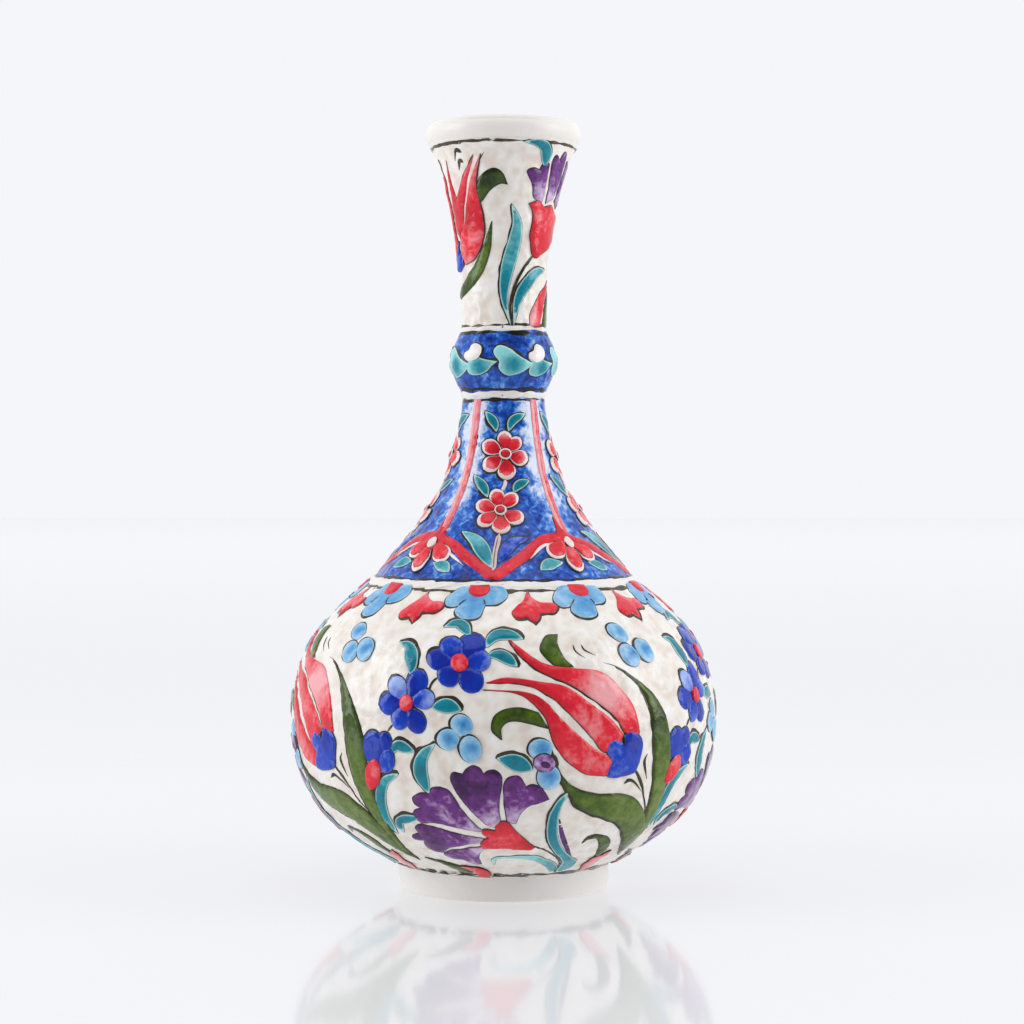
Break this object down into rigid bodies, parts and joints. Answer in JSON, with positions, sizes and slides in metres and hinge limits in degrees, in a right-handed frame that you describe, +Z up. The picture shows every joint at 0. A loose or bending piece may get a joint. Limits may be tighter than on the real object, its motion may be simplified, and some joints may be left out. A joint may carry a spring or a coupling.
{
  "type": "pottery vase",
  "caption": "Bottle-shaped pottery vase with a round belly, a knopped trumpet neck, a rolled lip and a foot ring, for single stems or display.",
  "frame": {"origin": "centre of the foot ring's resting face", "axes": "+Z up the vase's turning axis, towards the mouth"},
  "size_m": [0.1386, 0.1386, 0.25],
  "materials": {
    "white_glaze": "gloss",
    "blue_glaze": "gloss",
    "foot_clay": "satin",
    "slip": "matte",
    "red_enamel": "gloss",
    "green_enamel": "gloss",
    "turquoise_enamel": "gloss",
    "cobalt_enamel": "gloss",
    "sky_enamel": "gloss",
    "purple_enamel": "gloss",
    "line_pigment": "gloss"
  },
  "bodies": {
    "root": {"foot_ring": "foot_clay", "lower_belly": "white_glaze", "upper_belly": "white_glaze", "trumpet_neck": "blue_glaze", "neck_knop": "blue_glaze", "flared_neck": "white_glaze", "mouth_lip": "white_glaze", "shoulder_band": "white_glaze", "collar_band": "white_glaze", "knop_band": "white_glaze", "base_joint_slip": "slip", "equator_joint_slip": "slip", "shoulder_joint_slip": "slip", "collar_joint_slip": "slip", "knop_joint_slip": "slip", "lip_joint_slip": "slip"}
  },
  "joints": []
}
